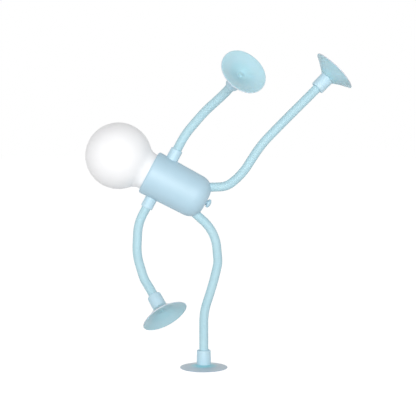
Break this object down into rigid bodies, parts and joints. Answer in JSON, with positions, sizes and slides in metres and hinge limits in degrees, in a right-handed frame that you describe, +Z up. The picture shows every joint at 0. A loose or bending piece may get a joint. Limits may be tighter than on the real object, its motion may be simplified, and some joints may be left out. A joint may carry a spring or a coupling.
{
  "type": "flexible led lamp",
  "caption": "Rechargeable night lamp like a tumbling figure: frosted globe on a round housing, gooseneck arms and legs that bend and end in suction cups",
  "frame": {"origin": "middle of the standing suction cup's face, on the surface that the lamp stands on", "axes": "+Z up, +X to the right of the picture, +Y away from the viewer"},
  "size_m": [0.1999, 0.0767, 0.2394],
  "materials": {
    "suction_cup": "translucent soft moulded cup",
    "collar": "satin moulded sleeve",
    "hose": "soft matte sleeve",
    "bending_wire": "drawn annealed wire",
    "housing": "fine matte moulded",
    "globe": "milky frosted diffuser",
    "ferrule": "crimped ring",
    "inner_plastic": "plain moulded",
    "led_board": "white masked metal core",
    "led_chips": "phosphor under clear resin",
    "screws": "zinc plated",
    "circuit_board": "solder mask",
    "pad": "foam",
    "battery": "laminated foil pouch",
    "socket": "nickel plated",
    "switch": "moulded",
    "lead": "insulated",
    "button": "matte moulded"
  },
  "bodies": {
    "standing_foot": {"standing_leg_suction_cup": "suction_cup", "standing_leg_collar": "collar", "standing_leg_hose_4": "hose", "standing_leg_wire_4": "bending_wire"},
    "standing_leg_3": {"standing_leg_hose_3": "hose", "standing_leg_wire_3": "bending_wire"},
    "standing_leg_2": {"standing_leg_hose_2": "hose", "standing_leg_wire_2": "bending_wire"},
    "standing_leg_1": {"standing_leg_hose_1": "hose", "standing_leg_wire_1": "bending_wire"},
    "torso": {"body_shell": "housing", "bulb_globe": "globe", "raised_shoulder_collar": "collar", "lowered_shoulder_collar": "collar", "arm_hose_roots": "hose", "leg_hose_roots": "hose", "wire_roots": "bending_wire", "arm_ferrules": "ferrule", "leg_ferrules": "ferrule", "led_seat_plate": "inner_plastic", "led_board": "led_board", "led_chips": "led_chips", "led_board_screws": "screws", "control_board": "circuit_board", "board_screws": "screws", "battery_pad": "pad", "battery_cell": "battery", "usb_socket": "socket", "switch_board": "circuit_board", "tact_switch": "switch", "led_leads": "lead", "battery_leads": "lead"},
    "button": {"button_cap": "button"},
    "raised_arm_1": {"raised_arm_hose_1": "hose", "raised_arm_wire_1": "bending_wire"},
    "raised_arm_2": {"raised_arm_hose_2": "hose", "raised_arm_wire_2": "bending_wire"},
    "raised_hand": {"raised_arm_hose_3": "hose", "raised_arm_wire_3": "bending_wire", "raised_arm_collar": "collar", "raised_arm_suction_cup": "suction_cup"},
    "lowered_arm_1": {"lowered_arm_hose_1": "hose", "lowered_arm_wire_1": "bending_wire"},
    "lowered_arm_2": {"lowered_arm_hose_2": "hose", "lowered_arm_wire_2": "bending_wire"},
    "lowered_hand": {"lowered_arm_hose_3": "hose", "lowered_arm_wire_3": "bending_wire", "lowered_arm_collar": "collar", "lowered_arm_suction_cup": "suction_cup"},
    "raised_leg_1": {"raised_leg_hose_1": "hose", "raised_leg_wire_1": "bending_wire"},
    "raised_leg_2": {"raised_leg_hose_2": "hose", "raised_leg_wire_2": "bending_wire"},
    "raised_leg_3": {"raised_leg_hose_3": "hose", "raised_leg_wire_3": "bending_wire"},
    "raised_foot": {"raised_leg_hose_4": "hose", "raised_leg_wire_4": "bending_wire", "raised_leg_collar": "collar", "raised_leg_suction_cup": "suction_cup"}
  },
  "joints": [
    {"name": "standing_ankle", "type": "hinge", "parent": "standing_foot", "child": "standing_leg_3", "pos_m": [0, 0, 0.0311], "axis": [0, 1, 0], "range_deg": [-30, 30]},
    {"name": "standing_shin", "type": "hinge", "parent": "standing_leg_3", "child": "standing_leg_2", "pos_m": [0.00352, 0, 0.05357], "axis": [-0.9521, 0, 0.3057], "range_deg": [-30, 30]},
    {"name": "standing_knee", "type": "hinge", "parent": "standing_leg_2", "child": "standing_leg_1", "pos_m": [0.01022, 0, 0.0877], "axis": [0, 1, 0], "range_deg": [-35, 35]},
    {"name": "standing_hip", "type": "hinge", "parent": "standing_leg_1", "child": "torso", "pos_m": [-0.00353, 0, 0.11534], "axis": [-0.6691, 0, -0.7431], "range_deg": [-35, 35]},
    {"name": "raised_shoulder", "type": "hinge", "parent": "torso", "child": "raised_arm_1", "pos_m": [-0.01929, 0, 0.16754], "axis": [0, 1, 0], "range_deg": [-35, 35]},
    {"name": "raised_elbow", "type": "hinge", "parent": "raised_arm_1", "child": "raised_arm_2", "pos_m": [-0.00659, -0.00287, 0.18628], "axis": [-0.7608, 0, 0.649], "range_deg": [-40, 40]},
    {"name": "raised_wrist", "type": "hinge", "parent": "raised_arm_2", "child": "raised_hand", "pos_m": [0.00813, -0.01139, 0.20157], "axis": [0.3616, 0.8725, 0.3287], "range_deg": [-40, 40]},
    {"name": "lowered_shoulder", "type": "hinge", "parent": "torso", "child": "lowered_arm_1", "pos_m": [-0.04399, 0, 0.1211], "axis": [0, 1, 0], "range_deg": [-15, 40]},
    {"name": "lowered_elbow", "type": "hinge", "parent": "lowered_arm_1", "child": "lowered_arm_2", "pos_m": [-0.05009, -0.0021, 0.09889], "axis": [0.999, 0, -0.0441], "range_deg": [-40, 40]},
    {"name": "lowered_wrist", "type": "hinge", "parent": "lowered_arm_2", "child": "lowered_hand", "pos_m": [-0.04709, -0.0084, 0.07672], "axis": [0.1124, 0.9349, -0.3367], "range_deg": [-30, 40]},
    {"name": "raised_hip", "type": "hinge", "parent": "torso", "child": "raised_leg_1", "pos_m": [0.00818, 0, 0.13799], "axis": [0, 1, 0], "range_deg": [-35, 35]},
    {"name": "raised_knee", "type": "hinge", "parent": "raised_leg_1", "child": "raised_leg_2", "pos_m": [0.03557, 0, 0.15819], "axis": [-0.8443, 0, 0.5358], "range_deg": [-40, 40]},
    {"name": "raised_shin", "type": "hinge", "parent": "raised_leg_2", "child": "raised_leg_3", "pos_m": [0.05244, 0, 0.17955], "axis": [0, 1, 0], "range_deg": [-40, 40]},
    {"name": "raised_ankle", "type": "hinge", "parent": "raised_leg_3", "child": "raised_foot", "pos_m": [0.0686, 0, 0.19592], "axis": [-0.7059, 0, 0.7083], "range_deg": [-40, 40]},
    {"name": "button_press", "type": "slide", "parent": "torso", "child": "button", "axis": [-0.8829, 0, 0.4695], "range_m": [0, 0.0008], "stiffness_N_per_m": 400, "springref_m": -0.0005}
  ]
}
